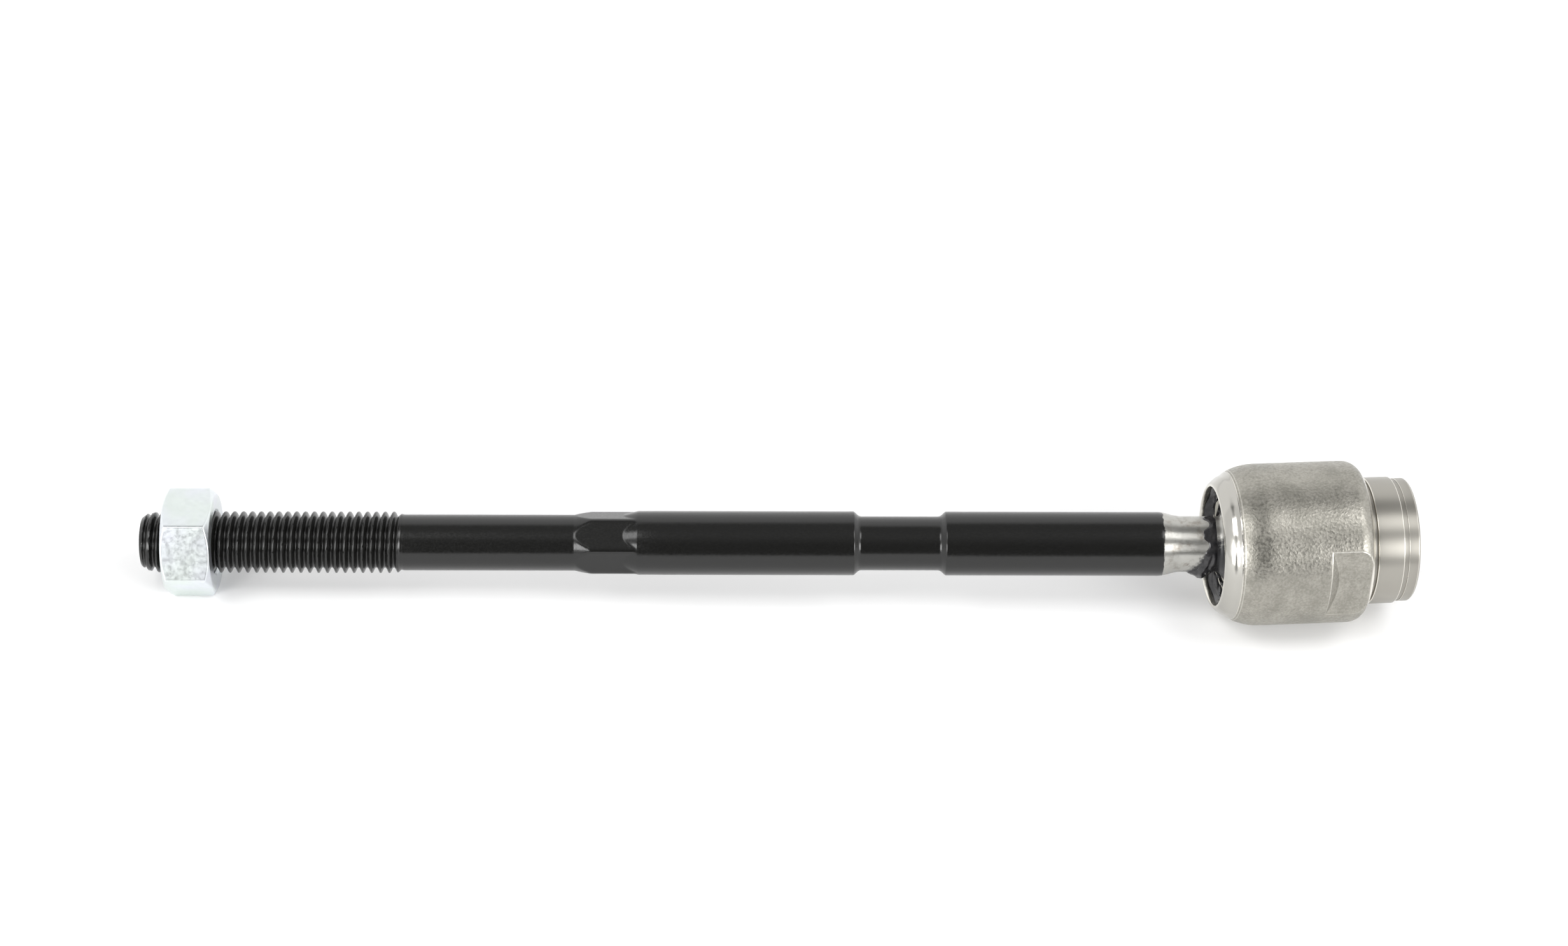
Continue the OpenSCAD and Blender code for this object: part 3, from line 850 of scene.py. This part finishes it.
def floor_material(look):
    """Matte white laminate of a photographer's table."""
    material, tree = new_material("White laminate")
    return shaded(material, tree, {
        "Base Color": linear(look.floor), "Roughness": 0.9, "Specular IOR Level": 0.0,
    })


class TIEROD_OT_rod(bpy.types.Operator):
    """Builds the tie rod with its helical thread and its coating"""

    bl_idname = "tierod.rod"
    bl_label = "Tie rod"

    def execute(self, context):
        scene = context.scene
        mesh = rod_mesh(scene.tie_rod_sizes)
        material = coated_rod_material(scene.tie_rod_looks)
        add_piece("tie_rod_steel", mesh, "tie_rod", material, 50, ["tie_rod"])
        return {"FINISHED"}


class TIEROD_OT_housing(bpy.types.Operator):
    """Builds the socket housing"""

    bl_idname = "tierod.housing"
    bl_label = "Housing"

    def execute(self, context):
        scene = context.scene
        mesh = housing_mesh(scene.housing_sizes)
        material = forged_housing_material(scene.tie_rod_looks)
        add_piece("housing_steel", mesh, "housing", material, 40, ["housing"])
        return {"FINISHED"}


class TIEROD_OT_nut(bpy.types.Operator):
    """Builds the jam nut"""

    bl_idname = "tierod.nut"
    bl_label = "Jam nut"

    def execute(self, context):
        scene = context.scene
        rod_len = rod_stations(lengths(scene.tie_rod_sizes))["tip"]
        mesh = nut_mesh(scene.jam_nut_sizes, rod_len)
        material = zinc_material(scene.tie_rod_looks)
        add_piece("jam_nut_steel", mesh, "jam_nut", material, 40, ["jam_nut"])
        return {"FINISHED"}


class TIEROD_OT_inner_parts(bpy.types.Operator):
    """Gives the ball seat and the disc spring their finishes"""

    bl_idname = "tierod.inner_parts"
    bl_label = "Seat and spring"

    def execute(self, context):
        look = context.scene.tie_rod_looks
        for name, material in (("ball_seat", acetal_material(look)), ("preload_spring", spring_material())):
            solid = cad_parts[name]
            solid.data.materials.clear()
            solid.data.materials.append(material)
        return {"FINISHED"}


class TIEROD_OT_grease(bpy.types.Operator):
    """Lays the grease in the mouth and on the neck"""

    bl_idname = "tierod.grease"
    bl_label = "Grease"

    def execute(self, context):
        scene = context.scene
        material = grease_material(scene.tie_rod_looks)
        smear = neck_grease_mesh(scene.tie_rod_sizes)
        add_piece("neck_grease", smear, "tie_rod", material, 60)
        add_piece("mouth_grease", mouth_grease_mesh(), "housing", material, 60)
        return {"FINISHED"}


def add_floor(look):
    """The white table, level with the underside of the housing."""
    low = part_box("housing")[0].z
    half = 8.0
    mesh = bpy.data.meshes.new("floor")
    corners = [(-half, -half, low), (half, -half, low), (half, half, low), (-half, half, low)]
    mesh.from_pydata(corners, [], [(0, 1, 2, 3)])
    floor = bpy.data.objects.new("floor", mesh)
    mesh.materials.append(floor_material(look))
    bpy.context.scene.collection.objects.link(floor)


def add_softbox(name, aside, up, width, height, power):
    """A rectangular lamp that faces the object from the front, its height lying across the X axis.

    Its direction is turned by one angle out of the YZ plane, and stands at the other above the floor.
    """
    target, distance = Vector((-0.14, 0, 0)), 1.25
    lamp = bpy.data.lights.new(name, "AREA")
    lamp.shape = "RECTANGLE"
    lamp.size, lamp.size_y = width, height
    lamp.energy = power
    back = Vector((math.sin(aside), -math.cos(aside) * math.cos(up), math.cos(aside) * math.sin(up)))
    rise = Vector((0, math.sin(up), math.cos(up)))
    turn = Matrix((rise.cross(back), rise, back)).transposed().to_4x4()
    holder = bpy.data.objects.new(name, lamp)
    holder.matrix_world = Matrix.Translation(target + distance * back) @ turn
    bpy.context.scene.collection.objects.link(holder)


def add_lamps():
    """A bright lamp at each side in front, and a dimmer one nearly overhead at each side."""
    for name, aside, up, width, height, power in (
        ("side", 42, 28, 0.6, 0.5, 7.5), ("top", 30, 78, 0.5, 0.5, 3.6),
    ):
        for way, sign in (("left", -1), ("right", 1)):
            add_softbox(f"{way}_{name}_softbox", sign * math.radians(aside), math.radians(up),
                        width, height, power)


def studio_world():
    """White surroundings, brightest behind the object.

    A sweep stands behind it, up to 68 degrees above the floor, and pale walls at both sides. The room
    in front gets dimmer from the ceiling down.
    """
    world = bpy.data.worlds.new("studio")
    world.use_nodes = True
    tree = world.node_tree
    tree.nodes.clear()
    toward = node(tree, "ShaderNodeTexCoord").outputs["Generated"]
    parts = node(tree, "ShaderNodeSeparateXYZ", {0: toward}).outputs
    soft = {"interpolation_type": "SMOOTHSTEP"}
    sweep_normal, sweep_edge = (0.0, 0.848, -0.53), 0.17
    behind = along_axis(tree, toward, sweep_normal)
    sweep = ramp(tree, behind, -sweep_edge, sweep_edge, 0.1, 1.3, **soft)
    ceiling = ramp(tree, parts[2], 0.6, 0.95, 0.08, 0.34)
    walls = ramp(tree, maths(tree, "ABSOLUTE", parts[0]), 0.35, 0.7, 0.08, 1.1, **soft)
    white = maths(tree, "MAXIMUM", sweep, maths(tree, "MAXIMUM", ceiling, walls))
    light = node(tree, "ShaderNodeBackground", {"Color": (1.0, 1.0, 1.0, 1.0), "Strength": white})
    output = node(tree, "ShaderNodeOutputWorld", {0: light.outputs[0]})
    output.is_active_output = True
    return world


def add_camera():
    """The photograph's camera, from its focal length and width in pixels, its angles and its place."""
    focal, photo_width, sensor = 5212, 2464, 36.0
    azimuth, down, roll = (math.radians(v) for v in (6.793, 43.920, 2.796))
    place = (-0.2009, -0.5170, 0.5289)
    lens = bpy.data.cameras.new("camera")
    lens.sensor_width = sensor
    lens.lens = sensor * focal / photo_width
    lens.clip_start, lens.clip_end = 0.02, 30.0
    camera = bpy.data.objects.new("camera", lens)
    level = math.cos(down)
    ahead = Vector((level * math.sin(azimuth), level * math.cos(azimuth), -math.sin(down)))
    right = ahead.cross(Vector((0, 0, 1))).normalized()
    up = right.cross(ahead)
    rolled_right = math.cos(roll) * right + math.sin(roll) * up
    rolled_up = math.cos(roll) * up - math.sin(roll) * right
    turn = Matrix((rolled_right, rolled_up, -ahead)).transposed().to_4x4()
    camera.matrix_world = Matrix.Translation(place) @ turn
    bpy.context.scene.collection.objects.link(camera)
    return camera


class TIEROD_OT_stage(bpy.types.Operator):
    """Sets up the floor, the lamps, the surroundings and the camera"""

    bl_idname = "tierod.stage"
    bl_label = "Stage"

    def execute(self, context):
        scene = context.scene
        add_floor(scene.tie_rod_looks)
        add_lamps()
        scene.world = studio_world()
        scene.camera = add_camera()
        scene.view_settings.view_transform = "Standard"
        return {"FINISHED"}


class TIEROD_PT_panel(bpy.types.Panel):
    """Lists the steps that build the tie rod"""

    bl_idname = "TIEROD_PT_panel"
    bl_label = "Inner tie rod"
    bl_space_type = "VIEW_3D"
    bl_region_type = "UI"
    bl_category = "Tie Rod"

    def draw(self, context):
        for step in STEPS:
            self.layout.operator(step.bl_idname)


SIZES = {
    "tie_rod_sizes": RodSizes, "housing_sizes": HousingSizes, "jam_nut_sizes": NutSizes,
    "tie_rod_looks": Finishes,
}
STEPS = (
    TIEROD_OT_rod, TIEROD_OT_housing, TIEROD_OT_nut, TIEROD_OT_inner_parts, TIEROD_OT_grease, TIEROD_OT_stage,
)


def register():
    for group in (*SIZES.values(), *STEPS, TIEROD_PT_panel):
        bpy.utils.register_class(group)
    for name, group in SIZES.items():
        setattr(bpy.types.Scene, name, PointerProperty(type=group))


def unregister():
    for name in SIZES:
        delattr(bpy.types.Scene, name)
    for group in (TIEROD_PT_panel, *reversed(STEPS), *reversed(list(SIZES.values()))):
        bpy.utils.unregister_class(group)


def main():
    register()
    bpy.ops.tierod.rod()
    bpy.ops.tierod.housing()
    bpy.ops.tierod.nut()
    bpy.ops.tierod.inner_parts()
    bpy.ops.tierod.grease()
    bpy.ops.tierod.stage()


if __name__ == "__main__":
    main()
